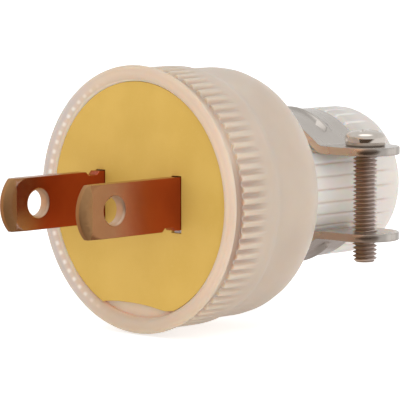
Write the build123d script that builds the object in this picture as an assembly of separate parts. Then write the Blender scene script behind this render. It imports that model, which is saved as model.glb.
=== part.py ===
"""Two-blade plug cap with a card-covered face and a screwed cord clamp.

Y is the axis of the plug: the blades point to -Y and the cord leaves towards +Y.
The origin is the centre of the rim's front face, and Z is up along the blades' width.
Every length is in millimetres. Each piece is written to its own STEP file.
"""
import os
from math import cos, radians, sin, sqrt

from build123d import *

# Blades
blade_width = 6.3
blade_thickness = 1.5
blade_spacing = 12.7
blade_reach = 15.6
tip_ease = 1.25
tip_bevel_length = 1.1
tip_bevel_depth = 0.45
blade_hole_diameter = 3.1
blade_hole_reach = 10.3
blade_hole_sink = 0.25
notch_length = 2.2
notch_depth = 0.45
notch_reach = 0.2
heel_radius = 1.8

# Insulating card
card_radius = 14.1
card_thickness = 0.5
card_depth = 0.7
card_fit = 0.05
slot_side_room = 0.05
slot_end_room = 0.1
slot_low_room = 0.4
card_cut_depth = 1.35
card_cut_wave = 0.25

# Front rim and grip of the cap
rim_wall = 1.95
rim_chamfer = 0.6
rim_thickness = 0.7
rim_groove_width = 1.8
rim_groove_depth = 0.9
grip_step = 0.35
grip_length = 5.6
rib_count = 72
rib_groove_width = 0.8
rib_groove_floor = 0.55
rib_groove_depth = 0.45
rib_length = 4.0

# Shoulder and neck of the cap
waist_depth = 0.45
waist_run = 1.1
waist_length = 5.0
shoulder_round = 4.5
shoulder_slope = 53.0
neck_radius = 8.4
neck_blend = 2.0
neck_end_radius = 9.4
neck_end_length = 7.3
neck_end_round = 3.0
flare_length = 0.7
bore_radius = 4.6
bore_mouth_chamfer = 0.3

# Block inside the cap
block_wall = 0.7
block_length = 7.7
block_fit = 0.1
block_lip_thickness = 0.8
block_lip_overlap = 0.5
chamber_length = 5.0

# Terminals
foot_depth = 3.3
foot_leg = 3.5
terminal_screw_diameter = 3.0
terminal_screw_length = 3.6
terminal_head_diameter = 4.6
terminal_head_height = 1.7
terminal_slot_width = 0.8
terminal_slot_depth = 0.8
terminal_room = 0.15
wire_slot_width = 3.4
pocket_room = 0.25
blade_fit = 0.05
foot_hole_room = 0.1
screw_end_room = 0.5

# Cord clamp
band_width = 8.0
band_thickness = 1.0
band_lead = 1.3
band_tail = 0.2
upper_ear_height = 4.55
lower_ear_height = 5.0
ear_slope = 34.0
ear_bend_radius = 1.6
ear_overrun = 0.3
ear_hole_room = 0.2
bead_width = 2.4
bead_crown = 1.0
bead_height = 0.45
bead_run_out = 1.6
screw_diameter = 3.0
screw_head_diameter = 5.1
screw_head_height = 2.0
screw_head_side = 0.6
screw_head_crown = 2.9
screw_head_room = 1.5
screw_overrun = 2.8
screw_end_chamfer = 0.35
recess_span = 3.1
recess_width = 0.75
recess_depth = 1.1
recess_taper = 12.0
recess_turn = 45.0

# Places that follow from the sizes above
blade_x = blade_spacing / 2
blade_inner = blade_x - blade_thickness / 2
blade_outer = blade_x + blade_thickness / 2
card_back = card_depth + card_thickness
block_front = card_back + block_lip_thickness
block_back = block_front + block_length
foot_front = block_front + foot_depth
foot_back = foot_front + blade_thickness
foot_step = blade_width / 2 - pocket_room
foot_top = foot_step + terminal_head_diameter
foot_edge = blade_inner - terminal_head_diameter - 2 * terminal_room
terminal_x = (foot_edge + blade_inner) / 2
terminal_z = (foot_step + foot_top) / 2
pocket_side = blade_outer + pocket_room
pocket_top = foot_top + pocket_room
rim_radius = card_radius + card_fit + rim_wall
grip_radius = rim_radius - grip_step
waist_radius = grip_radius - waist_depth
rib_start = rim_thickness + rim_groove_width
grip_end = rib_start + grip_length
waist_y = grip_end + waist_run
shoulder_y = waist_y + waist_length


def box(x, y, z):
    """Block between the two ends of each of three ranges."""
    size = [end - start for start, end in (x, y, z)]
    middle = [(start + end) / 2 for start, end in (x, y, z)]
    return Pos(*middle) * Box(*size)


def rod(radius, y, x=0, z=0):
    """Round bar along Y between two depths."""
    return Pos(x, sum(y) / 2, z) * Rot(90, 0, 0) * Cylinder(radius, y[1] - y[0])


def turned(points):
    """Solid turned about the plug's axis from (radius, depth) corners."""
    return revolve(make_face(Polyline(*points, close=True)), Axis.Y)


def half_turn(piece):
    """The same piece on the other side of the plug's axis."""
    return Rot(0, 180, 0) * piece


def arc_corners(centre, radius, start, end, steps):
    """Corners along an arc, with angles in degrees from the radius towards the depth."""
    angles = [radians(start + (end - start) * step / steps) for step in range(steps + 1)]
    return [(centre[0] + radius * cos(angle), centre[1] + radius * sin(angle)) for angle in angles]


def neck_start():
    """Depth where the sloping shoulder has run out into the straight neck."""
    slope = radians(shoulder_slope)
    slope_top = waist_radius - shoulder_round * (1 - cos(slope))
    slope_foot = neck_radius + neck_blend * (1 - cos(slope))
    run = (slope_top - slope_foot) / sin(slope) * cos(slope)
    return shoulder_y + (shoulder_round + neck_blend) * sin(slope) + run


def band_start():
    """Depth of the clamp's front edge."""
    return neck_start() + band_lead


def band_middle():
    """Depth of the clamp's middle and of its screw."""
    return band_start() + band_width / 2


def neck_end():
    """Depth of the neck's end face."""
    return band_start() + band_width + band_tail + flare_length + neck_end_length


def cap_outside():
    """Corners of the cap's outer profile, from the front rim to the cord bore."""
    groove_radius = rim_radius - rim_groove_depth
    round_y = neck_end() - neck_end_round
    flare_end = neck_end() - neck_end_length
    rim_centre = (rim_radius - rim_thickness, rim_thickness)
    rim = arc_corners(rim_centre, rim_thickness, -90, 0, 2)
    grip = [
        (groove_radius, rim_thickness),
        (groove_radius, rib_start),
        (grip_radius, rib_start),
        (grip_radius, grip_end),
        (waist_radius, waist_y),
    ]
    shoulder_centre = (waist_radius - shoulder_round, shoulder_y)
    shoulder = arc_corners(shoulder_centre, shoulder_round, 0, shoulder_slope, 4)
    blend_centre = (neck_radius + neck_blend, neck_start())
    blend = arc_corners(blend_centre, neck_blend, 180 + shoulder_slope, 180, 2)
    flare = [(neck_radius, flare_end - flare_length), (neck_end_radius, flare_end)]
    tail = arc_corners((neck_end_radius - neck_end_round, round_y), neck_end_round, 0, 90, 3)
    mouth = [
        (bore_radius + bore_mouth_chamfer, neck_end()),
        (bore_radius, neck_end() - bore_mouth_chamfer),
    ]
    return rim + grip + shoulder + blend + flare + tail + mouth


def cap_inside():
    """Corners of the cap's inner profile, from the cord bore to the card's recess."""
    recess_radius = card_radius + card_fit
    return [
        (bore_radius, card_back),
        (recess_radius, card_back),
        (recess_radius, rim_chamfer),
        (recess_radius + rim_chamfer, 0),
    ]


def block_room(margin, y):
    """Block-shaped space about the pockets, wider than them by a margin on every side."""
    x = pocket_side + margin
    z = pocket_top + margin
    return box((-x, x), y, (-z, z))


def rib_groove():
    """One groove of the grip, deepest at the rim and running out at the back."""
    floor = grip_radius - rib_groove_depth
    brim = grip_radius + rib_groove_depth
    slope = rib_groove_depth / rib_length
    half_floor = rib_groove_floor / 2
    half_brim = rib_groove_width - half_floor
    corners = [(floor, half_floor), (brim, half_brim), (brim, -half_brim), (floor, -half_floor)]
    plane = Plane((0, rib_start, 0), x_dir=(1, 0, 0), z_dir=(0, 1, 0))
    section = plane * make_face(Polyline(*corners, close=True))
    return extrude(section, rib_length * 2, dir=(slope, 1, 0))


def around_axis(piece, count):
    """Copies of a piece at equal steps about the plug's axis."""
    return [Rot(0, step * 360 / count, 0) * piece for step in range(count)]


def make_cap():
    """Soft cap in one moulding, with its ribs, card recess, block cavity and cord bore."""
    cap = turned(cap_outside() + cap_inside())
    cap -= block_room(block_wall - block_lip_overlap, (card_back, block_front))
    cap -= block_room(block_wall + block_fit, (block_front, block_back))
    cap -= block_room(0, (block_back, block_back + chamber_length))
    return cap - around_axis(rib_groove(), rib_count)


def make_card():
    """Fibre card with blade slots and a wavy lower edge."""
    low = card_cut_depth - card_radius
    reach = card_radius - card_cut_depth / 2
    half_span = sqrt(card_radius ** 2 - low ** 2)
    wave = Spline(
        (-half_span, low),
        (-half_span * 0.2, low + card_cut_wave),
        (half_span * 0.4, low),
        (half_span * 0.8, low - card_cut_wave),
        (half_span, low),
    )
    floor = -card_radius * 2
    skirt = Polyline((half_span, low), (reach, floor), (-reach, floor), (-half_span, low))
    slot_width = blade_thickness + 2 * slot_side_room
    left_slot = Rectangle(slot_width, blade_width + 2 * slot_end_room)
    right_slot = Rectangle(slot_width, blade_width + slot_end_room + slot_low_room)
    card = Circle(card_radius) - make_face([wave, skirt])
    card -= Pos(-blade_x, 0) * left_slot
    card -= Pos(blade_x, (slot_end_room - slot_low_room) / 2) * right_slot
    plane = Plane((0, card_back, 0), x_dir=(1, 0, 0), z_dir=(0, -1, 0))
    return extrude(plane * card, card_thickness)


def blade_strip():
    """Flat outline of a blade and its root, seen from the side, before the foot is bent."""
    half = blade_width / 2
    tip_radius = half + tip_ease
    tip = blade_reach - tip_radius + sqrt(tip_radius ** 2 - half ** 2)
    notch_end = notch_reach + notch_length
    arc = ThreePointArc((-tip, half), (-blade_reach, 0), (-tip, -half))
    edge = Polyline(
        (-tip, -half),
        (-notch_end, -half),
        (-notch_end + notch_depth, -half + notch_depth),
        (-notch_reach - notch_depth, -half + notch_depth),
        (-notch_reach, -half),
        (foot_back, -half),
        (foot_back, foot_top),
        (foot_back - foot_leg, foot_top),
        (foot_back - foot_leg, half),
        (-tip, half),
    )
    plane = Plane((blade_inner, 0, 0), x_dir=(0, 1, 0), z_dir=(1, 0, 0))
    return extrude(plane * make_face([arc, edge]), blade_thickness)


def bevel_tip(blade):
    """Bevel both faces of the blade along its rounded tip."""
    for face in (blade_inner, blade_outer):
        side = blade.faces().filter_by(Axis.X).filter_by_position(Axis.X, face, face)
        arc = side.edges().filter_by(GeomType.CIRCLE).sort_by(Axis.Y)[0]
        blade = chamfer(arc, length=tip_bevel_length, length2=tip_bevel_depth, reference=side[0])
    return blade


def make_blade():
    """Right blade: strip, bent foot, holes and bevelled tip."""
    blade = bevel_tip(blade_strip())
    foot = (foot_front, foot_back)
    blade += box((foot_edge, blade_outer), foot, (foot_step, foot_top))
    corners = blade.edges().filter_by(Axis.Z).filter_by_position(Axis.X, blade_outer, blade_outer)
    blade = fillet(corners.sort_by(Axis.Y)[-1], heel_radius)
    hole = blade_hole_diameter / 2
    across = Pos(blade_x, -blade_hole_reach, 0) * Rot(0, 90, 0)
    blade -= across * Cylinder(hole, blade_thickness)
    for turn in (0, 180):
        sink = Pos(0, 0, (blade_thickness - blade_hole_sink) / 2)
        blade -= across * Rot(turn, 0, 0) * sink * Cone(hole, hole + blade_hole_sink, blade_hole_sink)
    return blade - rod(terminal_screw_diameter / 2 + foot_hole_room, foot, terminal_x, terminal_z)


def block_pocket():
    """Room in the block for one blade, its foot, its binding screw and its wire."""
    outer = pocket_side
    top = pocket_top
    low_step = foot_step - pocket_room
    low_end = -blade_width / 2 - blade_fit
    depth = (card_back, foot_back)
    wire = (-foot_edge - wire_slot_width, -foot_edge)
    pocket = box((foot_edge - pocket_room, outer), depth, (low_step, top))
    pocket += box((blade_inner - blade_fit, blade_outer + blade_fit), depth, (low_end, low_step))
    pocket += box((wire[0], foot_edge), (card_back, foot_front), (top - wire_slot_width, top))
    pocket += box(wire, (card_back, block_back), (top - wire_slot_width, top))
    screw_end = foot_front + terminal_screw_length + screw_end_room
    return pocket + rod(terminal_screw_diameter / 2, (foot_back, screw_end), terminal_x, terminal_z)


def make_block():
    """Hard block that carries the blades, snapped in behind the cap's lip and raised to the card."""
    pocket = block_pocket()
    block = block_room(block_wall, (block_front, block_back)) + block_room(0, (card_back, block_front))
    return block - pocket - half_turn(pocket)


def make_terminal_screw():
    """Binding screw that clamps a wire and the right blade's foot to the block."""
    head_top = foot_front - terminal_head_height
    head_radius = terminal_head_diameter / 2
    head = rod(head_radius, (head_top, foot_front), terminal_x, terminal_z)
    slot = box(
        (terminal_x - head_radius, terminal_x + head_radius),
        (head_top, head_top + terminal_slot_depth),
        (terminal_z - terminal_slot_width / 2, terminal_z + terminal_slot_width / 2),
    )
    shank = (foot_front, foot_front + terminal_screw_length)
    return head - slot + rod(terminal_screw_diameter / 2, shank, terminal_x, terminal_z)


def slope_direction():
    """Direction from the loop down to the upper ear, along the sloping part of the strip."""
    return Vector(cos(radians(ear_slope)), -sin(radians(ear_slope)))


def loop_touch(radius):
    """Point where the upper sloping part leaves the loop."""
    return Vector(sin(radians(ear_slope)), cos(radians(ear_slope))) * radius


def ear_bend(height):
    """Corner where the strip's middle line bends from its slope into an ear."""
    touch = loop_touch(neck_radius + band_thickness / 2)
    level = height + band_thickness / 2
    return touch + slope_direction() * ((touch.Y - level) / sin(radians(ear_slope)))


def screw_x():
    """Place of the clamp screw, clear of the bend of the ear that its head lies on."""
    bend = max(ear_bend(upper_ear_height).X, ear_bend(lower_ear_height).X)
    return bend + screw_head_room + screw_head_diameter / 2


def flip(point, side):
    """Point in the upper half (side 1) or mirrored into the lower half (side -1)."""
    return (point.X, side * point.Y)


def half_loop(radius, side):
    """Half of the strip's loop, from its back to where it slopes off to the ear."""
    turn = radians(90 + ear_slope / 2)
    middle = Vector(radius * cos(turn), radius * sin(turn))
    return ThreePointArc((-radius, 0), flip(middle, side), flip(loop_touch(radius), side))


def ear_line(height, side):
    """Middle line of the sloping part and ear at one end of the strip."""
    touch = loop_touch(neck_radius + band_thickness / 2)
    bend = ear_bend(height)
    end = Vector(screw_x() + ear_overrun + band_width / 2, bend.Y)
    corners = [flip(point, side) for point in (touch, bend, end)]
    return FilletPolyline(*corners, radius=ear_bend_radius)


def clamp_path(lines):
    """One wire of several lines, laid in the middle plane of the clamp."""
    plane = Plane((0, band_middle(), 0), x_dir=(1, 0, 0), z_dir=(0, -1, 0))
    return plane * Wire([edge for line in lines for edge in line.edges()])


def swept(section, path):
    """Solid of a section drawn with the clamp's width along X and its outside along Y."""
    start = Plane(path @ 0, x_dir=(0, 1, 0), z_dir=path % 0)
    return sweep(start * section, path)


def make_strip():
    """Bent strip of the clamp, square-ended and without holes."""
    middle = neck_radius + band_thickness / 2
    path = clamp_path([
        ear_line(lower_ear_height, -1),
        half_loop(middle, -1),
        half_loop(middle, 1),
        ear_line(upper_ear_height, 1),
    ])
    return swept(Rectangle(band_width, band_thickness), path)


def make_bead():
    """Pressed bead along the outside of the loop, ending on the sloping parts."""
    outer = neck_radius + band_thickness
    touch = loop_touch(outer)
    end = touch + slope_direction() * bead_run_out
    path = clamp_path([
        Line(flip(end, -1), flip(touch, -1)),
        half_loop(outer, -1),
        half_loop(outer, 1),
        Line(flip(touch, 1), flip(end, 1)),
    ])
    section = make_face(Polyline(
        (-bead_width / 2, -band_thickness / 2),
        (-bead_width / 2, 0),
        (-bead_crown / 2, bead_height),
        (bead_crown / 2, bead_height),
        (bead_width / 2, 0),
        (bead_width / 2, -band_thickness / 2),
        close=True,
    ))
    return swept(section, path)


def make_band():
    """Plated strip bent round the neck, with a pressed bead and two round-ended ears."""
    tall = neck_radius * 4
    axis = Pos(screw_x(), band_middle(), 0)
    ear_middle = screw_x() + ear_overrun
    inboard = box((-tall, ear_middle), (band_start(), band_start() + band_width), (-tall, tall))
    ear_end = Pos(ear_middle, band_middle(), 0) * Cylinder(band_width / 2, tall)
    band = make_strip() & (ear_end + inboard)
    band += make_bead()
    upper = Pos(0, 0, tall / 2) * Cylinder(screw_diameter / 2 + ear_hole_room, tall)
    lower = Pos(0, 0, -tall / 2) * Cylinder(screw_diameter / 2, tall)
    return band - axis * upper - axis * lower


def make_clamp_screw():
    """Pan-head screw with a cross recess, along Z through both ears."""
    seat = upper_ear_height + band_thickness
    top = seat + screw_head_height
    tip = -lower_ear_height - band_thickness - screw_overrun
    head = screw_head_diameter / 2
    crown = screw_head_crown / 2
    middle = (seat + screw_head_side + top) / 2
    shank = screw_diameter / 2
    outline = Polyline(
        (0, tip),
        (shank - screw_end_chamfer, tip),
        (shank, tip + screw_end_chamfer),
        (shank, seat),
        (head, seat),
        (head, seat + screw_head_side),
        ((head * 2 + crown) / 3, middle),
        (crown, top),
        (0, top),
        close=True,
    )
    screw = revolve(Plane.XZ * make_face(outline), Axis.Z)
    cross = Rectangle(recess_span, recess_width) + Rectangle(recess_width, recess_span)
    cross = Rot(0, 0, recess_turn) * cross
    recess = extrude(Plane.XY.offset(top) * cross, -recess_depth, taper=recess_taper)
    return Pos(screw_x(), band_middle(), 0) * (screw - recess)


blade = make_blade()
terminal_screw = make_terminal_screw()
pieces = {
    "cap_body": make_cap(),
    "insulating_card": make_card(),
    "terminal_block": make_block(),
    "blade_right": blade,
    "blade_left": half_turn(blade),
    "terminal_screw_right": terminal_screw,
    "terminal_screw_left": half_turn(terminal_screw),
    "cord_band": make_band(),
    "clamp_screw": make_clamp_screw(),
}

os.makedirs("parts", exist_ok=True)
for name, piece in pieces.items():
    export_step(piece, f"parts/{name}.step")
    print(name, round(piece.volume, 2), piece.is_valid)
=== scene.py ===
"""Looks of a two-blade plug cap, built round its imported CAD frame.

Sizes are in millimetres in the part's own frame: Y is the plug's axis with the blades at -Y,
and Z is up along the blades' width. Meshes are in metres. Tones are linear red, green and blue.
"""
import math

import bmesh
import bpy
import numpy as np
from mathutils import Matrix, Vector


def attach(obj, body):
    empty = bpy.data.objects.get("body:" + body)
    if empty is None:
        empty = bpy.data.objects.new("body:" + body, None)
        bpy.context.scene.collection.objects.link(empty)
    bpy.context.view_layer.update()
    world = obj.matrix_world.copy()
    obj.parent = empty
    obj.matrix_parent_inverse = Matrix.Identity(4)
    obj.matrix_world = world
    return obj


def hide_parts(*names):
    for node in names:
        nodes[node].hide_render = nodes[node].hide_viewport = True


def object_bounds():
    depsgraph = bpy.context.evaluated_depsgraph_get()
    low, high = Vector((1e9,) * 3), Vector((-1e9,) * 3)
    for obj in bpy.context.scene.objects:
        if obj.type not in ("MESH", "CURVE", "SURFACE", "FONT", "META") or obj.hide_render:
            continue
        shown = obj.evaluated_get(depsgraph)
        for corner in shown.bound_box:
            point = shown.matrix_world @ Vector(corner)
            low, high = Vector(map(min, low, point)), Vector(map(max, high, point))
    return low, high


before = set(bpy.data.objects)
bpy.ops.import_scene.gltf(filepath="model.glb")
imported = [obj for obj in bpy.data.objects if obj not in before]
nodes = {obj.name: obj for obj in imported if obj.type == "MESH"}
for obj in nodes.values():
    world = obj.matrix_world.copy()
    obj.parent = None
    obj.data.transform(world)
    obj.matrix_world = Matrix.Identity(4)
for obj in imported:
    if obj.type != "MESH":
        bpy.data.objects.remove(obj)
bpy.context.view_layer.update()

MM = 0.001
TURN = 2 * math.pi
DIAGONAL = math.sqrt(0.5)
SAME_POINT = 1e-6  # metres

# Cap sizes, as in the part's source
RECESS_RADIUS = 14.15
RECESS_DEPTH = 1.2
RIM_RADIUS = 16.1
RIM_THICKNESS = 0.7
RIM_CHAMFER = 0.6
GROOVE_RADIUS = 15.2
RIB_START = 2.5
GRIP_RADIUS = 15.75
GRIP_END = 8.1
WAIST_RADIUS = 15.3
WAIST_Y = 9.2
SLOPE_TOP = 16.444
SLOPE_FOOT = 21.643
NECK_RADIUS = 8.4
FLARE_START = 32.14
FLARE_END = 32.84
NECK_END_RADIUS = 9.4
NECK_END = 40.14
BORE_RADIUS = 4.6
CHAMBER_BACK = 14.7
BLOCK_BACK = 9.7
BLOCK_FRONT = 2.0
CHAMBER_HALF = (7.35, 7.75)
CAVITY_HALF = (8.15, 8.55)
LIP_HALF = (7.55, 7.95)

# How finely the cap is cut, round its axis and along its profile
CAP_SEGMENTS = 720
FINE_RUN = 0.5
COARSE_RUN = 2.0
COARSE_FROM = GRIP_END - 1
ARC_STEP = math.radians(15)
ARC_ROOM = 0.8

# Ribs of the grip and fine lines of the neck
RIB_COUNT = 72
RIB_WIDTH = 0.8
RIB_FLOOR = 0.55
RIB_DEPTH = 0.45
RIB_LENGTH = 4.0
RIB_EASE = 0.6
LINE_COUNT = 32
LINE_WIDTH = 0.55
LINE_DEPTH = 0.14
LINE_START = 19.6
LINE_END = 38.2
LINE_FADE_IN = 2.0
LINE_FADE_OUT = 3.0
LINE_SOFTNESS = 0.25
LINE_BORE_ROOM = 2.0

# How strongly ribs, lines and the groove count as hollow, for the painted shade in them
WALL_MARK = 2.8
FLOOR_MARK = 0.5
LINE_MARK = 0.45
GROOVE_ROOM = 0.2
GROOVE_FLOOR = 14.9

# Clamp screw
SCREW_X = 12.479
SCREW_Y = 27.94
SCREW_SEAT = 5.55
SCREW_TIP = -8.8
TIP_EASE = 0.4
HEAD_RADIUS = 2.55
HEAD_FOOT = 2.3
HEAD_HEIGHT = 2.0
HEAD_SIDE = 0.95
HEAD_SINK = 0.05
HEAD_SQUARENESS = 0.86
HEAD_EASE = 0.05
HEAD_SEGMENTS = 96
SIDE_STEPS = 8
DOME_STEPS = 14
RECESS_SPAN = 3.4
RECESS_WIDTH = 0.75
RECESS_SINK = 1.1
RECESS_OVERCUT = 0.1
RECESS_TAPER = math.radians(12)
RECESS_TURN = math.radians(25)
THREAD_CREST = 1.5
THREAD_CORE = 1.1
THREAD_PITCH = 0.5
THREAD_FLANK = (0.12, 0.88)
THREAD_SEGMENTS = 64
THREAD_CUTS = 290

# Pressed bead of the band
BEAD_CROWN = 1.0
BEAD_FOOT = 2.4
BEAD_LIMIT = 9.0
BEAD_TOUCH = 0.02
BEAD_END = 0.9
BEAD_RAMP = 0.5
BEAD_SINK = 0.06
BEAD_ROUND = 0.4
BEAD_RIDGE = 0.4
BEAD_TAPER = 0.5
BEAD_STEPS = 5

# Holes and tips of the blades
HOLE_Y = -10.3
HOLE_RADIUS = 1.55
TIP_LINE = -13.85

# Eased edges
CARD_EASE = 0.02
BLADE_EASE = 0.1
BAND_EASE = 0.14
BLOCK_EASE = 0.12
TERMINAL_EASE = 0.1
CARD_EDGE = 0.1
CARD_GAP = 0.004
FLAT_ANGLE = math.radians(0.4)
EASE_ANGLE = math.radians(28)
SMOOTH_ANGLE = math.radians(32)
CAP_SMOOTH_ANGLE = math.radians(50)
HEAD_EASE_ANGLE = math.radians(40)
HEAD_SMOOTH_ANGLE = math.radians(45)
BEAD_ANGLE = math.radians(15)
FLAT_WEIGHT = 90

# Vinyl tones, in pairs where they cloud
VINYL_INNER = (0.69, 0.55, 0.43), (0.73, 0.585, 0.46)
# Painted shade on the rim's outer rounding
VINYL_OUTER_SHADE = (0.59, 0.47, 0.385), (0.625, 0.5, 0.415)
VINYL_MIDDLE = (0.58, 0.475, 0.385), (0.63, 0.525, 0.43)
# Painted light: the neck's pale tone stands in for light through its thin wall
VINYL_NECK_LIT = (0.91, 0.84, 0.77), (0.96, 0.9, 0.84)
# Painted shade along the middle height of the body's side
VINYL_SIDE_SHADE = (0.47, 0.385, 0.305)
# Painted shade on the left side of the front
VINYL_LEFT_SHADE = (0.64, 0.56, 0.51)
# Painted shade towards the bottom and the top of the front
VINYL_DEEP_SHADE = (0.56, 0.47, 0.375)
VINYL_END = (0.73, 0.68, 0.635)
# Painted shade on top of the neck's end
VINYL_END_TOP_SHADE = (0.52, 0.49, 0.465)
# Painted shade in the hollows of ribs, groove and lines
VINYL_HOLLOW_SHADE = (0.43, 0.29, 0.215)
# Painted highlight along the fine lines
VINYL_LINE_HIGHLIGHT = (0.97, 0.93, 0.9)
# Painted shade on the rim's outer edge
VINYL_RIM_EDGE_SHADE = (0.52, 0.495, 0.475)
# Painted light on the wall round the card
VINYL_CARD_EDGE_LIGHT = (0.95, 0.84, 0.72)
# Painted light on the seat under the card
VINYL_CARD_FOOT_LIGHT = (0.78, 0.59, 0.435)
VINYL_DOT = (1.0, 0.96, 0.92)
DOT_RING = 14.7

# Card and block tones
CARD_YELLOW = (0.635, 0.402, 0.082), (0.682, 0.441, 0.099)
CARD_SPECKLE = (0.69, 0.475, 0.15)
BLOCK_WHITE = (0.76, 0.74, 0.7), (0.83, 0.81, 0.78)

# Copper tones
COPPER_TAN = (0.4, 0.19, 0.085), (0.355, 0.162, 0.07)
# Painted reflection: red at the roots and inside, browner towards the tips
COPPER_REFLECTED_RED = (0.46, 0.09, 0.055), (0.415, 0.077, 0.048)
COPPER_REFLECTED_BROWN = (0.48, 0.36, 0.28)
COPPER_WORN = (0.5, 0.29, 0.135), (0.45, 0.255, 0.115)
# Painted highlight round the cut holes
COPPER_HOLE_HIGHLIGHT = (0.8, 0.62, 0.47)
COPPER_MATT = 0.38

# Nickel tones of the strip and of the screws
STRIP_GREY = (0.57, 0.525, 0.485), (0.61, 0.565, 0.525)
# Painted shade on the strip's underside
STRIP_UNDER_SHADE = (0.3, 0.235, 0.2)
# Painted shade on the bead's slopes
STRIP_SLOPE_SHADE = (0.36, 0.33, 0.3)
# Painted reflection on the front edges, darker on the lower ear
STRIP_FRONT_REFLECTION = (0.5, 0.36, 0.275), (0.67, 0.485, 0.365)
# Painted reflection of the dark stand
STRIP_STAND_REFLECTION = (0.16, 0.12, 0.095)
SCREW_BRIGHT = (0.63, 0.57, 0.515), (0.68, 0.625, 0.57)
# Painted reflection on the thread: brown towards the cap, pale away from it
SCREW_REFLECTED_BROWN = (0.59, 0.43, 0.315), (0.65, 0.48, 0.355)
SCREW_REFLECTED_PALE = (0.72, 0.63, 0.59), (0.78, 0.69, 0.65)
# Painted shade in the thread's roots
SCREW_ROOT_SHADE = (0.38, 0.3, 0.245)
# Painted shadow under the head
SCREW_HEAD_SHADOW = (0.1, 0.075, 0.06)
# Painted shade in the head's recess
SCREW_RECESS_SHADE = (0.06, 0.045, 0.035)
THREAD_MATT = 0.32

# Room that the finishes mirror, and the floor
ROOM_WALL = (0.8, 0.8, 0.79)
ROOM_LAMP = (1.9, 1.9, 1.9)
ROOM_LOW = (0.97, 0.96, 0.95)
ROOM_LEFT = (0.85, 0.62, 0.46)
ROOM_STAND = (0.1, 0.07, 0.05)
ROOM_FLOOR = (0.48, 0.42, 0.38)
FLOOR_TONE = (0.82, 0.82, 0.82)
FLOOR_HALF = 4.0  # metres
FLOOR_DROP = 0.2
FLOOR_WHITE = 0.62
FLOOR_GLOW = 0.36
WORLD_LEVEL = 0.75
WHITE = (1.0, 1.0, 1.0)
BLACK = (0.0, 0.0, 0.0)

# Lamps: name, place, aim and width in metres, power in watts, colour
LAMPS = (
    ("key", (0.3, -0.15, 0.45), (0.0, 0.012, 0.0), 0.4, 0.5, WHITE),
    ("side", (0.48, -0.36, 0.06), (0.0, 0.025, 0.0), 0.35, 0.9, WHITE),
    ("fill", (-0.2, -0.6, 0.05), (0.0, 0.012, 0.0), 0.6, 0.6, (1.0, 0.97, 0.94)),
)

# Photo's viewpoint, with its distance and aim in metres
VIEW_AZIMUTH = math.radians(44.65)
VIEW_ELEVATION = math.radians(5.75)
VIEW_DISTANCE = 0.35
VIEW_AIM = 0.0079
VIEW_LENS = 264.0
VIEW_SENSOR = 36.0
VIEW_SIDE = math.sin(VIEW_AZIMUTH)
VIEW_FRONT = math.cos(VIEW_AZIMUTH)


# Node building


class Graph:
    """Adds nodes to a tree and feeds their inputs with values or with other nodes' outputs."""

    def __init__(self, tree):
        self.tree = tree

    def feed(self, socket, value):
        if isinstance(value, bpy.types.NodeSocket):
            self.tree.links.new(value, socket)
        else:
            socket.default_value = value

    def node(self, kind, inputs=None, **settings):
        node = self.tree.nodes.new(kind)
        for key, value in settings.items():
            setattr(node, key, value)
        for key, value in (inputs or {}).items():
            self.feed(node.inputs[key], value)
        return node

    def math(self, operation, *values, clamp=False):
        node = self.node("ShaderNodeMath", operation=operation, use_clamp=clamp)
        for socket, value in zip(node.inputs, values):
            self.feed(socket, value)
        return node.outputs[0]

    def plus(self, first, second):
        return self.math("ADD", first, second)

    def minus(self, first, second):
        return self.math("SUBTRACT", first, second)

    def over(self, first, second):
        return self.math("DIVIDE", first, second)

    def times(self, first, *others):
        for other in others:
            first = self.math("MULTIPLY", first, other)
        return first

    def larger(self, first, second):
        return self.math("MAXIMUM", first, second)

    def distance(self, first, second):
        """Length of the diagonal of two lengths."""
        squares = self.plus(self.times(first, first), self.times(second, second))
        return self.math("SQRT", squares)

    def off_middle(self, value):
        """Distance to the nearest whole number."""
        return self.math("ABSOLUTE", self.minus(value, self.math("ROUND", value)))

    def span(self, value, low, high, start=0.0, end=1.0, smooth=True):
        """Value between low and high, turned into a value between start and end."""
        kind = "SMOOTHSTEP" if smooth else "LINEAR"
        node = self.node("ShaderNodeMapRange", interpolation_type=kind)
        for socket, number in zip(node.inputs, (value, low, high, start, end)):
            self.feed(socket, number)
        return node.outputs[0]

    def zone(self, place, low, high, start=0.0, end=1.0):
        """Place between low and high millimetres, turned into a value between start and end."""
        return self.span(place, low * MM, high * MM, start, end)

    def mix(self, share, first, second):
        """Mix of two tones."""
        node = self.node("ShaderNodeMix", {0: share}, data_type="RGBA")
        for index, tone in ((6, first), (7, second)):
            self.feed(node.inputs[index], (*tone, 1.0) if isinstance(tone, tuple) else tone)
        return node.outputs[2]

    def paint(self, colour, *layers):
        """Colour with tones laid over it one after another, each by its share."""
        for share, tone in layers:
            colour = self.mix(share, colour, tone)
        return colour

    def vector(self, x=0.0, y=0.0, z=0.0):
        return self.node("ShaderNodeCombineXYZ", {0: x, 1: y, 2: z}).outputs[0]

    def unit(self, vector):
        return self.node("ShaderNodeVectorMath", {0: vector}, operation="NORMALIZE").outputs[0]

    def reach(self, vector, length):
        """Vector of another length."""
        inputs = {0: self.unit(vector), 3: length}
        return self.node("ShaderNodeVectorMath", inputs, operation="SCALE").outputs[0]

    def axes(self, vector):
        return self.node("ShaderNodeSeparateXYZ", {0: vector}).outputs

    def mark(self, geometry, name, value):
        """Geometry with a named value kept at its points."""
        inputs = {"Geometry": geometry, "Name": name, "Value": value}
        settings = {"data_type": "FLOAT", "domain": "POINT"}
        return self.node("GeometryNodeStoreNamedAttribute", inputs, **settings).outputs[0]

    def moved(self, geometry, **places):
        """Geometry with its points at a new Position or moved by an Offset."""
        return self.node("GeometryNodeSetPosition", {"Geometry": geometry, **places}).outputs[0]


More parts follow.
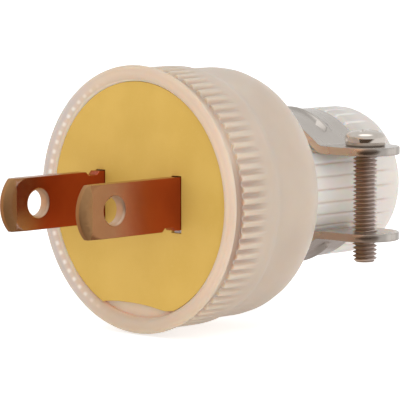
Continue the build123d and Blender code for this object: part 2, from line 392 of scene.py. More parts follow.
def shaped_tree(name, sizes):
    """Geometry tree with a mesh going in and out and one named input for each size."""
    tree = bpy.data.node_groups.new(name, "GeometryNodeTree")
    tree.interface.new_socket("Geometry", in_out="OUTPUT", socket_type="NodeSocketGeometry")
    tree.interface.new_socket("Geometry", in_out="INPUT", socket_type="NodeSocketGeometry")
    for title, value in sizes.items():
        kind = "NodeSocketInt" if isinstance(value, int) else "NodeSocketFloat"
        tree.interface.new_socket(title, in_out="INPUT", socket_type=kind).default_value = value
    tree.interface.new_socket("Material", in_out="INPUT", socket_type="NodeSocketMaterial")
    graph = Graph(tree)
    source = graph.node("NodeGroupInput").outputs
    place = graph.node("GeometryNodeInputPosition").outputs[0]
    return graph, source, graph.axes(place)


def close_tree(graph, geometry, material):
    """End of a tree: real geometry with its material."""
    real = graph.node("GeometryNodeRealizeInstances", {0: geometry}).outputs[0]
    dressed = graph.node("GeometryNodeSetMaterial", {"Geometry": real, "Material": material})
    out = graph.node("NodeGroupOutput")
    graph.feed(out.inputs[0], dressed.outputs[0])
    return graph.tree


def run_tree(piece, tree, settings):
    """Run a tree on a piece with the given inputs and keep the result as its plain mesh."""
    modifier = piece.modifiers.new(tree.name, "NODES")
    modifier.node_group = tree
    for item in tree.interface.items_tree:
        if item.item_type == "SOCKET" and item.in_out == "INPUT" and item.name in settings:
            modifier[item.identifier] = settings[item.name]
    keep_result(piece)


def keep_result(piece):
    """Replace a piece's mesh and modifiers by the finished mesh."""
    bpy.context.view_layer.update()
    graph = bpy.context.evaluated_depsgraph_get()
    mesh = bpy.data.meshes.new_from_object(
        piece.evaluated_get(graph), preserve_all_data_layers=True, depsgraph=graph
    )
    piece.modifiers.clear()
    piece.data = mesh


# Meshes


def new_piece(name, mesh):
    piece = bpy.data.objects.new(name, mesh)
    bpy.context.scene.collection.objects.link(piece)
    return piece


def merge(shape):
    bmesh.ops.remove_doubles(shape, verts=shape.verts, dist=SAME_POINT)


def bevel(shape, edges, width, segments):
    bmesh.ops.bevel(
        shape, geom=edges, offset=width * MM, offset_type="OFFSET", segments=segments,
        profile=0.5, affect="EDGES", clamp_overlap=True,
    )


def ease_edges(shape, width, segments, angle=EASE_ANGLE):
    sharp = [
        edge for edge in shape.edges
        if edge.is_manifold and edge.calc_face_angle(0.0) > angle
    ]
    bevel(shape, sharp, width, segments)


def plain_mesh(shape, name):
    """Mesh of a bmesh, which is used up."""
    mesh = bpy.data.meshes.new(name)
    shape.to_mesh(mesh)
    shape.free()
    return mesh


def smooth_mesh(shape, name, angle=SMOOTH_ANGLE):
    """Mesh of a bmesh, smooth except across sharp edges."""
    mesh = plain_mesh(shape, name)
    mesh.shade_smooth()
    mesh.set_sharp_from_angle(angle=angle)
    return mesh


def eased_copy(node, name, width, segments=2, reshape=None):
    """Copy of a CAD node with its flat faces joined and its edges eased."""
    shape = bmesh.new()
    shape.from_mesh(nodes[node].data)
    merge(shape)
    bmesh.ops.dissolve_limit(
        shape, angle_limit=FLAT_ANGLE, verts=shape.verts, edges=shape.edges
    )
    if reshape:
        reshape(shape)
    ease_edges(shape, width, segments)
    merge(shape)
    bmesh.ops.dissolve_degenerate(shape, dist=SAME_POINT, edges=shape.edges)
    piece = new_piece(name, smooth_mesh(shape, name))
    flatten_faces(piece)
    return piece


def flatten_faces(piece):
    """Let the large faces rule the shading, so that only the eased edges look round."""
    modifier = piece.modifiers.new("flat_faces", "WEIGHTED_NORMAL")
    modifier.weight = FLAT_WEIGHT
    modifier.keep_sharp = True
    keep_result(piece)


def eased_corner(before, corner, after, radius):
    """Points of an arc in place of a corner between two neighbours."""
    corner = np.array(corner)
    back = np.array(before) - corner
    ahead = np.array(after) - corner
    room = min(np.linalg.norm(back), np.linalg.norm(ahead))
    back /= np.linalg.norm(back)
    ahead /= np.linalg.norm(ahead)
    opening = math.acos(np.clip(back @ ahead, -1, 1))
    reach = min(radius / math.tan(opening / 2), room * ARC_ROOM)
    radius = reach * math.tan(opening / 2)
    middle = (back + ahead) / np.linalg.norm(back + ahead)
    centre = corner + middle * radius / math.sin(opening / 2)
    start = corner + back * reach - centre
    end = corner + ahead * reach - centre
    turn = math.pi - opening
    steps = max(3, math.ceil(turn / ARC_STEP))
    arc = []
    for step in range(steps + 1):
        share = step / steps
        weights = (math.sin((1 - share) * turn), math.sin(share * turn))
        arc.append(centre + (start * weights[0] + end * weights[1]) / math.sin(turn))
    return arc


def eased_line(corners):
    """Polyline through (radius, depth, rounding) corners, eased and cut into short runs."""
    points = [np.array(corners[0][:2])]
    for before, corner, after in zip(corners, corners[1:], corners[2:]):
        points += eased_corner(before[:2], corner[:2], after[:2], corner[2])
    points.append(np.array(corners[-1][:2]))
    line = [points[0]]
    for start, end in zip(points, points[1:]):
        run = COARSE_RUN if start[1] > COARSE_FROM else FINE_RUN
        cuts = max(1, math.ceil(np.linalg.norm(end - start) / run))
        line += [start + (end - start) * (cut + 1) / cuts for cut in range(cuts)]
    return line


def square_ring(half, angles):
    """Distance from the axis to the walls of a rectangular space."""
    across = half[0] / np.maximum(np.abs(np.cos(angles)), 1e-9)
    upright = half[1] / np.maximum(np.abs(np.sin(angles)), 1e-9)
    return np.minimum(across, upright)


def cap_rings(angles):
    """Rings of the cap, from the recess over the outside, through the bore to the card's seat."""
    outside = eased_line([
        (RECESS_RADIUS, RECESS_DEPTH, 0),
        (RECESS_RADIUS, RIM_CHAMFER, 1.0),
        (RECESS_RADIUS + RIM_CHAMFER, 0, 1.0),
        (RIM_RADIUS, 0, 0.6),
        (RIM_RADIUS, RIM_THICKNESS, 0.12),
        (GROOVE_RADIUS, RIM_THICKNESS, 0.3),
        (GROOVE_RADIUS, RIB_START, 0.25),
        (GRIP_RADIUS, RIB_START, 0.2),
        (GRIP_RADIUS, GRIP_END, 3.0),
        (WAIST_RADIUS, WAIST_Y, 3.0),
        (WAIST_RADIUS, SLOPE_TOP, 4.5),
        (NECK_RADIUS, SLOPE_FOOT, 2.0),
        (NECK_RADIUS, FLARE_START, 0.8),
        (NECK_END_RADIUS, FLARE_END, 0.8),
        (NECK_END_RADIUS, NECK_END, 3.0),
        (BORE_RADIUS, NECK_END, 0.4),
        (BORE_RADIUS, CHAMBER_BACK, 0),
    ])
    inside = (
        (CHAMBER_HALF, CHAMBER_BACK), (CHAMBER_HALF, BLOCK_BACK),
        (CAVITY_HALF, BLOCK_BACK), (CAVITY_HALF, BLOCK_FRONT),
        (LIP_HALF, BLOCK_FRONT), (LIP_HALF, RECESS_DEPTH),
    )
    rings = [(np.full_like(angles, radius), depth) for radius, depth in outside]
    return rings + [(square_ring(half, angles), depth) for half, depth in inside]


def turned_cap(name):
    """Cap turned from its profile, closed all round, before its ribs are cut."""
    angles = np.arange(CAP_SEGMENTS) * TURN / CAP_SEGMENTS
    across, upright = np.cos(angles), np.sin(angles)
    rings = cap_rings(angles)
    points = np.concatenate([
        np.stack([radius * across, np.full_like(angles, depth), radius * upright], 1)
        for radius, depth in rings
    ])
    faces = []
    for ring in range(len(rings)):
        first = ring * CAP_SEGMENTS
        second = (ring + 1) % len(rings) * CAP_SEGMENTS
        for step in range(CAP_SEGMENTS):
            after = (step + 1) % CAP_SEGMENTS
            faces.append((first + step, second + step, second + after, first + after))
    mesh = bpy.data.meshes.new(name)
    mesh.from_pydata((points * MM).tolist(), [], faces)
    mesh.shade_smooth()
    return new_piece(name, mesh)


def rib_tree():
    """Tree that presses ribs into the grip and fine lines into the neck of a turned cap."""
    graph, source, (x, y, z) = shaped_tree("pressed_ribs_and_lines", {
        "Rib Count": RIB_COUNT,
        "Rib Width": RIB_WIDTH * MM,
        "Rib Floor": RIB_FLOOR * MM,
        "Rib Depth": RIB_DEPTH * MM,
        "Rib Length": RIB_LENGTH * MM,
        "Rib Start": RIB_START * MM,
        "Grip Radius": GRIP_RADIUS * MM,
        "Groove Radius": GROOVE_RADIUS * MM,
        "Rim Thickness": RIM_THICKNESS * MM,
        "Line Count": LINE_COUNT,
        "Line Width": LINE_WIDTH * MM,
        "Line Depth": LINE_DEPTH * MM,
        "Line Start": LINE_START * MM,
        "Line End": LINE_END * MM,
        "Bore Room": (BORE_RADIUS + LINE_BORE_ROOM) * MM,
    })
    radius = graph.distance(x, z)
    turn = graph.over(graph.math("ARCTAN2", z, x), TURN)

    def off_centre(count, reach):
        """Distance along the surface from the nearest of evenly spaced middles."""
        off = graph.off_middle(graph.times(turn, count))
        return graph.times(graph.over(off, count), graph.times(reach, TURN))

    def soft_notch(depth, off, slope):
        """Depth of a V-shaped notch with eased lips and bottom."""
        drop = graph.minus(depth, graph.times(off, slope))
        ease = graph.times(depth, LINE_SOFTNESS)
        return graph.times(graph.plus(drop, graph.distance(drop, ease)), 0.5)

    run = graph.over(graph.minus(y, source["Rib Start"]), source["Rib Length"])
    started = graph.math("GREATER_THAN", run, -0.001)
    kept = graph.math("SUBTRACT", 1.0, graph.times(run, run), clamp=True)
    step = graph.minus(source["Grip Radius"], source["Groove Radius"])
    lift = graph.math("DIVIDE", graph.minus(radius, source["Groove Radius"]), step, clamp=True)
    rib_depth = graph.times(source["Rib Depth"], graph.times(kept, started), lift)
    half_floor = graph.times(source["Rib Floor"], 0.5)
    wall_run = graph.minus(graph.times(source["Rib Width"], 0.5), half_floor)
    rib_off = off_centre(source["Rib Count"], source["Grip Radius"])
    into_wall = graph.over(graph.minus(rib_off, half_floor), wall_run)
    rib_share = graph.span(into_wall, -RIB_EASE, 1 + RIB_EASE, 1.0, 0.0)
    rib = graph.times(rib_depth, rib_share)

    outer = graph.math("GREATER_THAN", radius, source["Bore Room"])
    line_in = graph.plus(source["Line Start"], LINE_FADE_IN * MM)
    line_out = graph.minus(source["Line End"], LINE_FADE_OUT * MM)
    begun = graph.span(y, source["Line Start"], line_in)
    ended = graph.span(y, line_out, source["Line End"], 1.0, 0.0)
    line_depth = graph.times(source["Line Depth"], graph.times(begun, ended, outer))
    line_slope = graph.over(graph.times(source["Line Depth"], 2.0), source["Line Width"])
    line = soft_notch(line_depth, off_centre(source["Line Count"], radius), line_slope)

    rim_back = graph.minus(source["Rim Thickness"], GROOVE_ROOM * MM)
    rib_front = graph.plus(source["Rib Start"], GROOVE_ROOM * MM)
    behind_rim = graph.math("GREATER_THAN", y, rim_back)
    before_ribs = graph.math("LESS_THAN", y, rib_front)
    outside = graph.math("GREATER_THAN", radius, GROOVE_FLOOR * MM)
    in_groove = graph.times(behind_rim, before_ribs)
    groove = graph.times(graph.minus(1.0, lift), in_groove, outside)
    # Share of painted shade in the hollows: darkest on the rib walls, lighter on their floors, also
    # in the neck's lines and the groove behind the rim
    wall = graph.times(graph.minus(1.0, rib_share), graph.times(rib_share, WALL_MARK))
    rib_mark = graph.larger(wall, graph.times(rib_share, FLOOR_MARK))
    rib_mark = graph.times(rib_mark, graph.over(rib_depth, source["Rib Depth"]))
    line_mark = graph.times(graph.over(line, source["Line Depth"]), LINE_MARK)
    hollow = graph.larger(graph.larger(rib_mark, line_mark), groove)

    marked = graph.mark(source["Geometry"], "hollow", hollow)
    inward = graph.times(graph.plus(rib, line), -1.0)
    pressed = graph.moved(marked, Offset=graph.reach(graph.vector(x=x, z=z), inward))
    return close_tree(graph, pressed, source["Material"])


def thread_tree():
    """Tree that adds a threaded shank under a screw head, along Z."""
    graph, source, (x, y, z) = shaped_tree("threaded_shank", {
        "Crest Radius": THREAD_CREST * MM,
        "Core Radius": THREAD_CORE * MM,
        "Pitch": THREAD_PITCH * MM,
        "Top": SCREW_SEAT * MM,
        "Tip": SCREW_TIP * MM,
        "Tip Ease": TIP_EASE * MM,
        "Place X": SCREW_X * MM,
        "Place Y": SCREW_Y * MM,
        "Round Segments": THREAD_SEGMENTS,
        "Length Segments": THREAD_CUTS,
    })
    length = graph.minus(source["Top"], source["Tip"])
    rod = graph.node("GeometryNodeMeshCylinder", {
        "Vertices": source["Round Segments"],
        "Side Segments": source["Length Segments"],
        "Radius": source["Crest Radius"],
        "Depth": length,
    }).outputs[0]
    turn = graph.over(graph.math("ARCTAN2", y, x), TURN)
    climb = graph.minus(graph.over(z, source["Pitch"]), turn)
    wave = graph.times(graph.math("PINGPONG", climb, 0.5), 2.0)
    ridge = graph.span(wave, *THREAD_FLANK, smooth=False)
    rise = graph.minus(source["Crest Radius"], source["Core Radius"])
    radius = graph.plus(source["Core Radius"], graph.times(rise, ridge))
    from_tip = graph.plus(z, graph.times(length, 0.5))
    tip_radius = graph.minus(source["Crest Radius"], source["Tip Ease"])
    radius = graph.math("MINIMUM", radius, graph.plus(tip_radius, from_tip))
    out = graph.axes(graph.reach(graph.vector(x, y), radius))
    cut = graph.moved(rod, Position=graph.vector(out[0], out[1], z))
    # Share of painted shade in the thread's roots
    cut = graph.mark(cut, "hollow", graph.minus(1.0, ridge))
    cut = graph.mark(cut, "shank", 1.0)
    middle = graph.times(graph.plus(source["Top"], source["Tip"]), 0.5)
    spot = graph.vector(source["Place X"], source["Place Y"], middle)
    placed = graph.node("GeometryNodeTransform", {"Geometry": cut, "Translation": spot}).outputs[0]
    joined = graph.node("GeometryNodeJoinGeometry")
    graph.feed(joined.inputs[0], source["Geometry"])
    graph.feed(joined.inputs[0], placed)
    return close_tree(graph, joined.outputs[0], source["Material"])


def quarter_turn(steps):
    """Angles of a quarter turn, without its start."""
    return [step / steps * math.pi / 2 for step in range(1, steps + 1)]


def turned_head(name):
    """Pan head of the clamp screw with a bulging side, turned from its profile."""
    seat = SCREW_SEAT - HEAD_SINK
    shoulder = SCREW_SEAT + HEAD_SIDE
    profile = [(radius, seat) for radius in (0, HEAD_FOOT / 2, HEAD_FOOT)]
    for angle in quarter_turn(SIDE_STEPS):
        out = HEAD_FOOT + (HEAD_RADIUS - HEAD_FOOT) * math.sin(angle)
        profile.append((out, shoulder - (shoulder - seat) * math.cos(angle)))
    for angle in quarter_turn(DOME_STEPS):
        out = HEAD_RADIUS * max(math.cos(angle), 0.0) ** HEAD_SQUARENESS
        up = (HEAD_HEIGHT - HEAD_SIDE) * math.sin(angle) ** HEAD_SQUARENESS
        profile.append((out, shoulder + up))
    shape = bmesh.new()
    line = [shape.verts.new((radius * MM, 0, height * MM)) for radius, height in profile]
    edges = [shape.edges.new(pair) for pair in zip(line, line[1:])]
    bmesh.ops.spin(
        shape, geom=line + edges, cent=(0, 0, 0), axis=(0, 0, 1), angle=TURN,
        steps=HEAD_SEGMENTS, use_merge=True,
    )
    merge(shape)
    bmesh.ops.recalc_face_normals(shape, faces=shape.faces)
    bmesh.ops.translate(shape, verts=shape.verts, vec=(SCREW_X * MM, SCREW_Y * MM, 0))
    return new_piece(name, plain_mesh(shape, name))


def cross_cutter():
    """Tapered cross that cuts the head's recess."""
    top = SCREW_SEAT + HEAD_HEIGHT
    loops = []
    shape = bmesh.new()
    for height in (top + RECESS_OVERCUT, top - RECESS_SINK):
        inset = (top - height) * math.tan(RECESS_TAPER)
        wide = RECESS_SPAN / 2 - inset
        thin = RECESS_WIDTH / 2 - inset
        arm = ((wide, -thin), (wide, thin), (thin, thin))
        loop = []
        for quarter in range(4):
            turn = RECESS_TURN + quarter * math.pi / 2
            for across, along in arm:
                x = SCREW_X + across * math.cos(turn) - along * math.sin(turn)
                y = SCREW_Y + across * math.sin(turn) + along * math.cos(turn)
                loop.append(shape.verts.new((x * MM, y * MM, height * MM)))
        loops.append(loop)
        shape.faces.new(loop)
    upper, lower = loops
    for index in range(len(upper)):
        after = (index + 1) % len(upper)
        shape.faces.new((upper[index], upper[after], lower[after], lower[index]))
    bmesh.ops.recalc_face_normals(shape, faces=shape.faces)
    return new_piece("cross_cutter", plain_mesh(shape, "cross_cutter"))


def screw_head(name):
    """Pan head with its cross recess and eased edges."""
    head = turned_head(name)
    cutter = cross_cutter()
    modifier = head.modifiers.new("recess", "BOOLEAN")
    modifier.operation = "DIFFERENCE"
    modifier.solver = "EXACT"
    modifier.object = cutter
    keep_result(head)
    bpy.data.objects.remove(cutter)
    shape = bmesh.new()
    shape.from_mesh(head.data)
    merge(shape)
    ease_edges(shape, HEAD_EASE, 2, HEAD_EASE_ANGLE)
    head.data = smooth_mesh(shape, name, HEAD_SMOOTH_ANGLE)
    return head


def fill_recess(shape):
    """Bring the card's edge out to the wall of its recess."""
    for vert in shape.verts:
        reach = math.hypot(vert.co.x, vert.co.z)
        if reach > (RECESS_RADIUS - CARD_EDGE) * MM:
            vert.co.x *= (RECESS_RADIUS - CARD_GAP) * MM / reach
            vert.co.z *= (RECESS_RADIUS - CARD_GAP) * MM / reach


def along_bead(shape, width):
    """Points of the band that lie half a width to either side of the bead's middle line."""
    def off_line(vert):
        return abs(abs(vert.co.y / MM - SCREW_Y) - width / 2)

    return [
        vert for vert in shape.verts
        if off_line(vert) < BEAD_TOUCH and vert.co.x / MM < BEAD_LIMIT
    ]


def towards_middle(vert, share):
    """Move a point of the bead by a share of its way to the middle line."""
    vert.co.y += (SCREW_Y * MM - vert.co.y) * share


def slope_end(end):
    """Draw an end of the bead's crown back along the bead and sink it."""
    runs = [edge.other_vert(end).co - end.co for edge in end.link_edges]
    back = min(runs, key=lambda run: (abs(run.y) + run.x) / run.length)
    back.normalize()
    top = min(
        end.link_faces,
        key=lambda face: abs(face.normal.dot(back)) + abs(face.normal.y),
    )
    end.co += (back * BEAD_RAMP - top.normal * BEAD_SINK) * MM


def soften_bead(shape):
    """Round the band's bead and let its ends taper and slope down to the strip."""
    shape.normal_update()
    crown = along_bead(shape, BEAD_CROWN)
    feet = along_bead(shape, BEAD_FOOT)
    for sign in (-1, 1):
        side = [vert for vert in crown if vert.co.z * sign > 0]
        ends = sorted(side, key=lambda vert: vert.co.x)[-2:]
        for foot in feet:
            if min((foot.co - end.co).length for end in ends) < BEAD_END * MM:
                towards_middle(foot, BEAD_TAPER)
        for end in ends:
            slope_end(end)
    for vert in crown:
        towards_middle(vert, 1 - BEAD_RIDGE)
    ridge = [
        edge for edge in shape.edges
        if all(vert in crown for vert in edge.verts) and edge.calc_face_angle(0.0) > BEAD_ANGLE
    ]
    bevel(shape, ridge, BEAD_ROUND, BEAD_STEPS)


# Finishes


class Finish(Graph):
    """New material with its shader, the shader's plain values and the piece's own coordinates."""

    def __init__(self, name, values=None):
        self.material = bpy.data.materials.new(name)
        self.material.use_nodes = True
        super().__init__(self.material.node_tree)
        self.shader = self.tree.nodes["Principled BSDF"]
        self.place = self.node("ShaderNodeTexCoord").outputs["Object"]
        for title, value in (values or {}).items():
            self.shader.inputs[title].default_value = value

    def noise(self, scale, detail=3.0, stretch=None):
        place = self.place
        if stretch:
            mapping = self.node("ShaderNodeMapping", {"Vector": place, "Scale": stretch})
            place = mapping.outputs[0]
        inputs = {"Vector": place, "Scale": scale, "Detail": detail}
        return self.node("ShaderNodeTexNoise", inputs).outputs[0]

    def kept_mark(self, name):
        """Value that a geometry tree kept at the points."""
        return self.node("ShaderNodeAttribute", attribute_name=name).outputs["Fac"]

    def normal(self):
        return self.axes(self.node("ShaderNodeNewGeometry").outputs["Normal"])

    def coat(self, colour, roughness):
        self.feed(self.shader.inputs["Base Color"], colour)
        self.feed(self.shader.inputs["Roughness"], roughness)

    def bump(self, height, strength, depth):
        """Fine relief, with its depth in millimetres."""
        inputs = {"Height": height, "Strength": strength, "Distance": depth * MM}
        self.feed(self.shader.inputs["Normal"], self.node("ShaderNodeBump", inputs).outputs[0])


def soft_vinyl():
    """Soft translucent vinyl, warm at the thick front, with painted light on the pale neck, round
    the card and in dots inside the rim, and painted shade in its hollows and on parts of the rim,
    side and neck end.
    """
    vinyl = Finish("soft_vinyl", {
        "Subsurface Weight": 0.9,
        "Subsurface Radius": (1.0, 0.62, 0.42),
        "Subsurface Scale": 0.0026,
        "IOR": 1.46,
        "Specular IOR Level": 0.35,
        "Sheen Weight": 0.1,
        "Sheen Roughness": 0.4,
    })
    x, y, z = vinyl.axes(vinyl.place)
    radius = vinyl.distance(x, z)
    cloud = vinyl.span(vinyl.noise(130.0, 4.0), 0.3, 0.7)
    left = vinyl.zone(x, -13, -6, 0.6, 0.0)
    deep_shade = vinyl.plus(vinyl.zone(z, -14.5, -8, 1.0, 0.0), vinyl.zone(z, 8, 14.5, 0.0, 0.5))
    front = vinyl.paint(
        vinyl.mix(cloud, *VINYL_INNER),
        # Painted shade: the rim's outer rounding is darker
        (vinyl.zone(radius, 15.2, 15.8), vinyl.mix(cloud, *VINYL_OUTER_SHADE)),
        # Painted shade: the left side of the front is greyer
        (left, VINYL_LEFT_SHADE),
        # Painted shade: darker towards the bottom and, half as much, towards the top
        (deep_shade, VINYL_DEEP_SHADE),
    )
    # Painted shade: the side of the body is darker along its middle height
    side = vinyl.zone(vinyl.math("ABSOLUTE", z), 3, 11, 0.22, 0.0)
    middle = vinyl.mix(side, vinyl.mix(cloud, *VINYL_MIDDLE), VINYL_SIDE_SHADE)
    end_top = vinyl.times(vinyl.zone(y, 32, 33), vinyl.zone(z, 1, 7))
    hollow = vinyl.kept_mark("hollow")
    lower = vinyl.zone(z, -10.5, -5.5, 0.15, 1.0)
    upper = vinyl.zone(z, 2, 7, 0.85, 0.12)
    colour = vinyl.paint(
        front,
        (vinyl.zone(y, 1, 5), middle),
        # Painted light: the neck is paler
        (vinyl.zone(y, 12, 26), vinyl.mix(cloud, *VINYL_NECK_LIT)),
        (vinyl.zone(y, 32.5, 34, 0.0, 0.8), VINYL_END),
        # Painted shade: the top of the neck's end is greyer
        (vinyl.times(end_top, vinyl.zone(y, 33.2, 36.2, 0.75, 0.3)), VINYL_END_TOP_SHADE),
        # Painted shade in the hollows, weaker towards the top and the bottom of the grip
        (vinyl.times(vinyl.span(hollow, 0.05, 0.9), vinyl.times(lower, upper)), VINYL_HOLLOW_SHADE),
        # Painted highlight along the fine lines on top of the neck's end
        (vinyl.times(vinyl.span(hollow, 0.02, 0.3, 0.0, 0.6), end_top), VINYL_LINE_HIGHLIGHT),
        # Painted shade: the rim's outer edge is greyer on the left
        (shaded_rim_edge(vinyl, x, y, radius), VINYL_RIM_EDGE_SHADE),
        # Painted light: the wall round the card is lighter
        (lit_card_edge(vinyl, y, z, radius), VINYL_CARD_EDGE_LIGHT),
        # Painted light: the seat under the card's lower edge is lighter
        (lit_card_foot(vinyl, y, z, radius), VINYL_CARD_FOOT_LIGHT),
        (light_dots(vinyl, x, y, z, radius), VINYL_DOT),
    )
    vinyl.coat(colour, vinyl.span(cloud, 0.0, 1.0, 0.4, 0.5))
    vinyl.bump(vinyl.noise(5200.0, 2.0), 0.08, 0.04)
    return vinyl.material


def shaded_rim_edge(vinyl, x, y, radius):
    """Share of painted shade that makes the outer edge of the rim greyer on its thin left side."""
    outer = vinyl.times(vinyl.zone(radius, 14.6, 15.2), vinyl.zone(y, 0.8, 1.4, 1.0, 0.0))
    return vinyl.times(outer, vinyl.zone(x, -12, -4, 0.85, 0.0))


def lit_card_edge(vinyl, y, z, radius):
    """Share of painted light on the wall that stands round the card."""
    wall = vinyl.times(vinyl.zone(radius, 14.2, 14.5, 1.0, 0.0), vinyl.zone(y, 0.2, 0.4))
    seat = vinyl.times(vinyl.zone(radius, 13.9, 14), vinyl.zone(y, 1.4, 1.6, 1.0, 0.0))
    return vinyl.times(wall, seat, vinyl.zone(z, -11.5, -8.5, 0.0, 0.8))


def lit_card_foot(vinyl, y, z, radius):
    """Share of painted light on the seat that shows under the card's lower edge."""
    seat = vinyl.times(vinyl.zone(radius, 14.6, 15, 1.0, 0.0), vinyl.zone(y, 0.2, 1.2))
    front = vinyl.times(seat, vinyl.zone(y, 1.6, 2, 1.0, 0.0))
    return vinyl.times(front, vinyl.zone(z, -9.8, -8.8, 0.9, 0.0))


def light_dots(vinyl, x, y, z, radius):
    """Share of light that comes through between the ribs and shows as dots inside the rim."""
    places = vinyl.times(vinyl.math("ARCTAN2", z, x), RIB_COUNT / TURN)
    along = vinyl.span(vinyl.off_middle(places), 0.05, 0.34, 1.0, 0.0)
    off_ring = vinyl.math("ABSOLUTE", vinyl.minus(radius, DOT_RING * MM))
    across = vinyl.zone(off_ring, 0, 0.35, 1.0, 0.0)
    front = vinyl.zone(y, 0.2, 0.7, 1.0, 0.0)
    side = vinyl.zone(x, -12, -4, 0.65, 0.0)
    return vinyl.times(along, across, vinyl.times(front, side))


def fibre_card():
    """Yellow vulcanised fibre with faint blotches and a fine speckle."""
    card = Finish("fibre_card", {"Specular IOR Level": 0.3})
    blotch = card.noise(170.0, 4.0)
    speckle = card.noise(2600.0, 2.0)
    ground = card.mix(card.span(blotch, 0.3, 0.7), *CARD_YELLOW)
    colour = card.mix(card.span(speckle, 0.5, 0.75, 0.0, 0.2), ground, CARD_SPECKLE)
    card.coat(colour, card.span(speckle, 0.3, 0.7, 0.55, 0.68))
    card.bump(speckle, 0.08, 0.04)
    return card.material


def copper_blade():
    """Copper-coloured plating, with a painted reflection that makes it redder at the roots and
    inside, matt at the tips and cut holes, with a painted highlight round the holes.
    """
    copper = Finish("copper_blade", {"Metallic": 1.0})
    x, y, z = copper.axes(copper.place)
    rubbed = copper.noise(1500.0)
    tarnish = copper.span(copper.noise(220.0, 4.0), 0.35, 0.75)
    outward = copper.times(copper.normal()[0], copper.math("SIGN", x))
    inside = copper.span(outward, -0.99, -0.94, 0.95, 0.0)
    root = copper.zone(y, -13, -2, 0.0, 0.85)
    near_tip = copper.zone(y, -13.5, -8.5, 0.75, 0.0)
    # Painted reflection of the card and the other blade, browner towards the tip
    red = copper.mix(near_tip, copper.mix(tarnish, *COPPER_REFLECTED_RED), COPPER_REFLECTED_BROWN)
    tip = copper.zone(y, TIP_LINE - 0.1, TIP_LINE + 0.05, 0.85, 0.0)
    from_hole = copper.distance(copper.minus(y, HOLE_Y * MM), z)
    hole = copper.zone(from_hole, HOLE_RADIUS + 0.1, HOLE_RADIUS + 0.3, 0.9, 0.0)
    colour = copper.paint(
        copper.mix(tarnish, *COPPER_TAN),
        # Painted reflection: redder at the roots and on the faces that look at each other
        (copper.larger(inside, root), red),
        (tip, copper.mix(tarnish, *COPPER_WORN)),
        # Painted highlight round the cut holes
        (hole, COPPER_HOLE_HIGHLIGHT),
    )
    polish = copper.span(rubbed, 0.3, 0.7, 0.22, 0.27)
    matt = copper.times(copper.larger(tip, hole), COPPER_MATT)
    copper.coat(colour, copper.plus(polish, matt))
    copper.bump(rubbed, 0.02, 0.01)
    return copper.material


def plated_strip():
    """Nickel plating with faint drawing lines, painted shade underneath and on the bead's slopes,
    and a painted brown reflection on its sheared front edges, dark where they face the stand.
    """
    strip = Finish("plated_strip", {"Metallic": 1.0})
    drawn = strip.noise(420.0, 2.0, (0.3, 1.0, 0.3))
    normal = strip.normal()
    forward = strip.times(normal[1], -1.0)
    # Direction that faces the dark stand, for its painted reflection
    corner = strip.times(strip.plus(normal[0], forward), DIAGONAL)
    height = strip.axes(strip.place)[2]
    colour = strip.paint(
        strip.mix(strip.span(drawn, 0.3, 0.7), *STRIP_GREY),
        # Painted shade: the underside is darker
        (strip.span(normal[2], -0.7, 0.0, 1.0, 0.0), STRIP_UNDER_SHADE),
        # Painted shade: the bead's slopes are darker
        (strip.span(strip.math("ABSOLUTE", normal[1]), 0.12, 0.3, 0.0, 0.7), STRIP_SLOPE_SHADE),
        # Painted reflection: the front edges are brown, darker lower down
        (strip.span(forward, 0.45, 0.9), strip.mix(strip.zone(height, -2, 2), *STRIP_FRONT_REFLECTION)),
        # Painted reflection: dark where the rounded ear ends face the stand
        (strip.span(corner, 0.94, 0.985, 0.0, 0.75), STRIP_STAND_REFLECTION),
    )
    strip.coat(colour, strip.span(drawn, 0.3, 0.7, 0.24, 0.29))
    strip.bump(drawn, 0.02, 0.01)
    return strip.material


def plated_screw():
    """Nickel-plated steel, bright on the head, dull along the thread, with a painted reflection
    that makes the thread browner towards the cap, and painted shade in the thread's roots, the
    head's recess and under the head.
    """
    steel = Finish("plated_screw", {"Metallic": 1.0})
    shank = steel.kept_mark("shank")
    worn = steel.span(steel.noise(900.0), 0.3, 0.7)
    x, y, height = steel.axes(steel.place)
    out_x = steel.minus(x, SCREW_X * MM)
    out_y = steel.minus(y, SCREW_Y * MM)
    from_cap = steel.times(steel.plus(out_x, out_y), DIAGONAL)
    root = steel.span(steel.kept_mark("hollow"), 0.2, 0.9, 0.0, 0.6)
    thread = steel.paint(
        # Painted reflection: brown towards the cap, pale away from it
        steel.mix(worn, *SCREW_REFLECTED_BROWN),
        (steel.zone(from_cap, -0.6, 0.8), steel.mix(worn, *SCREW_REFLECTED_PALE)),
        # Painted shade in the thread's roots
        (root, SCREW_ROOT_SHADE),
    )
    top = SCREW_SEAT + HEAD_HEIGHT
    edge = steel.zone(height, SCREW_SEAT + 0.05, SCREW_SEAT + 0.3, 0.85, 0.0)
    within = steel.zone(steel.distance(out_x, out_y), 1.7, 1.8, 1.0, 0.0)
    sunk = steel.zone(height, top - 0.6, top - 0.3, 0.9, 0.0)
    head = steel.paint(
        steel.mix(worn, *SCREW_BRIGHT),
        # Painted shadow: a dark line round the foot of the head
        (edge, SCREW_HEAD_SHADOW),
        # Painted shade in the cross recess
        (steel.times(within, sunk), SCREW_RECESS_SHADE),
    )
    polish = steel.span(worn, 0.0, 1.0, 0.09, 0.14)
    matt = steel.times(shank, THREAD_MATT)
    steel.coat(steel.mix(shank, head, thread), steel.plus(polish, matt))
    steel.bump(worn, 0.03, 0.02)
    return steel.material


def moulded_block():
    """White moulded plastic of the block behind the card."""
    block = Finish("moulded_block")
    cloud = block.noise(300.0)
    colour = block.mix(block.span(cloud, 0.3, 0.7), *BLOCK_WHITE)
    block.coat(colour, block.span(cloud, 0.3, 0.7, 0.42, 0.55))
    block.bump(cloud, 0.1, 0.05)
    return block.material


# Pieces


